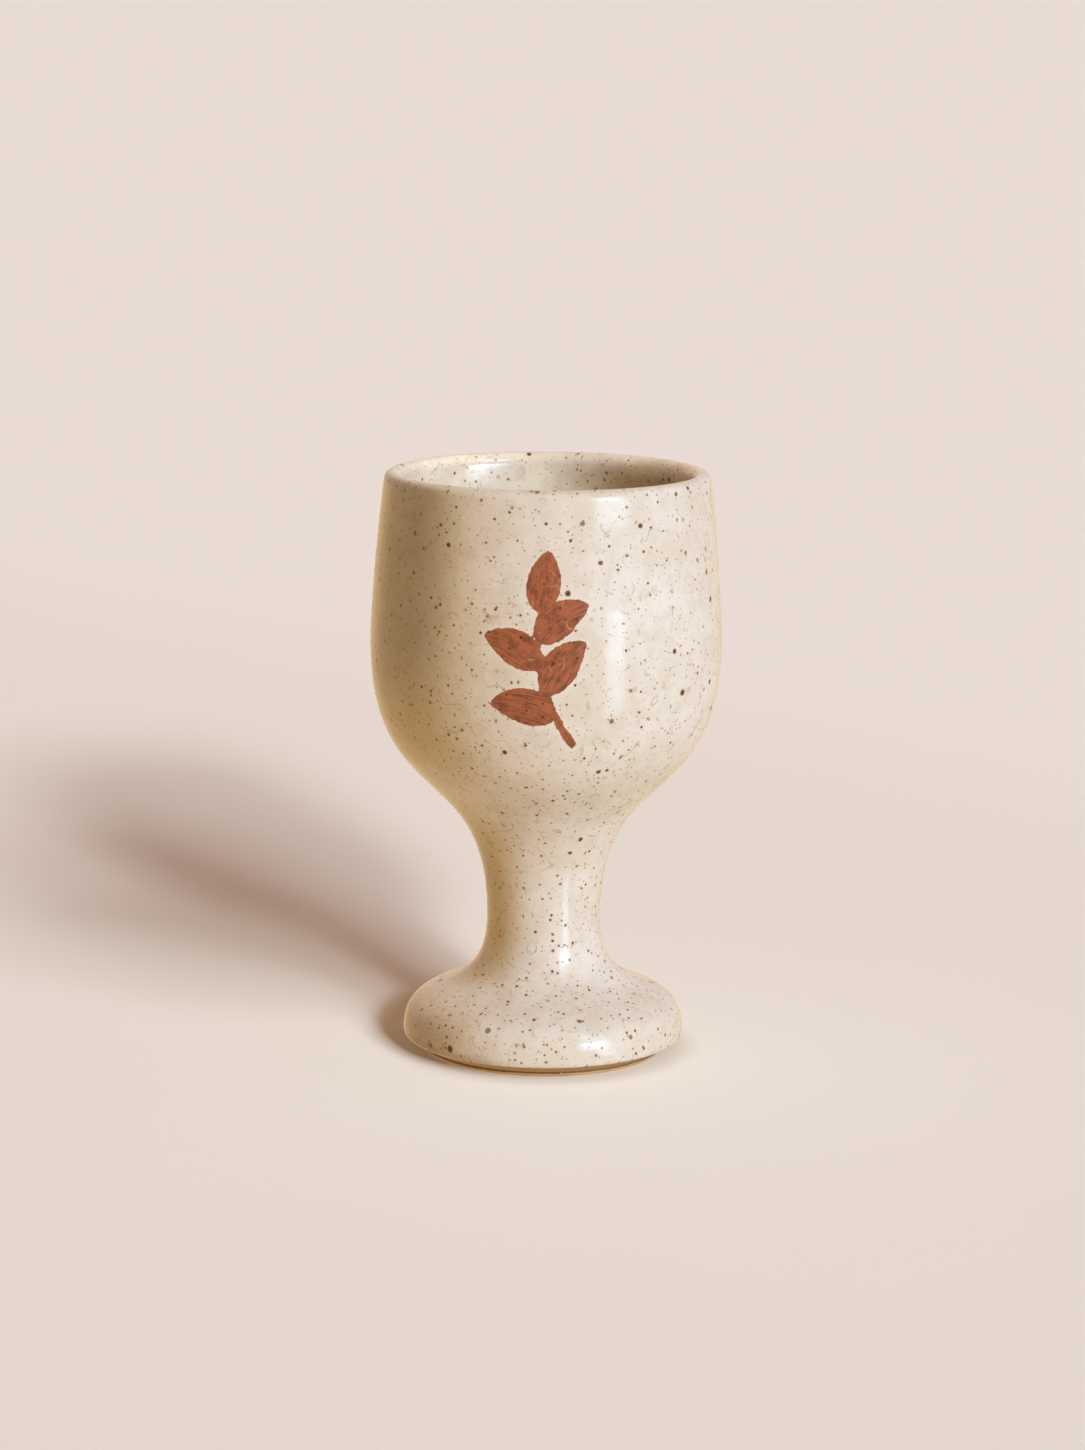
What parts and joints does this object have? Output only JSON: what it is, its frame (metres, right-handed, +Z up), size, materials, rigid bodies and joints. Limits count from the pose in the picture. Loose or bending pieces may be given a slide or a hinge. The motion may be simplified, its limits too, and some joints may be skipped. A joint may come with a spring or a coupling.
{
  "type": "stoneware goblet",
  "caption": "Hand-thrown stoneware goblet: a deep round bowl on a waisted hollow stem and a domed foot, glazed inside and out, with a bare foot ring to stand on.",
  "frame": {"origin": "middle of the foot ring, on the surface that the goblet stands on", "axes": "+Z up along the axis that the goblet was turned about, -Y towards the viewer of the painted front"},
  "size_m": [0.0896, 0.0896, 0.15],
  "materials": {
    "stoneware_body": "fired, unglazed, matt",
    "joining_clay": "fired, unglazed, matt",
    "cream_glaze": "glossy, iron-speckled"
  },
  "bodies": {
    "root": {"bowl": "stoneware_body", "pedestal": "stoneware_body", "luting_slip": "joining_clay", "joint_coil": "joining_clay", "inside_glaze": "cream_glaze", "outside_glaze": "cream_glaze"}
  },
  "joints": []
}
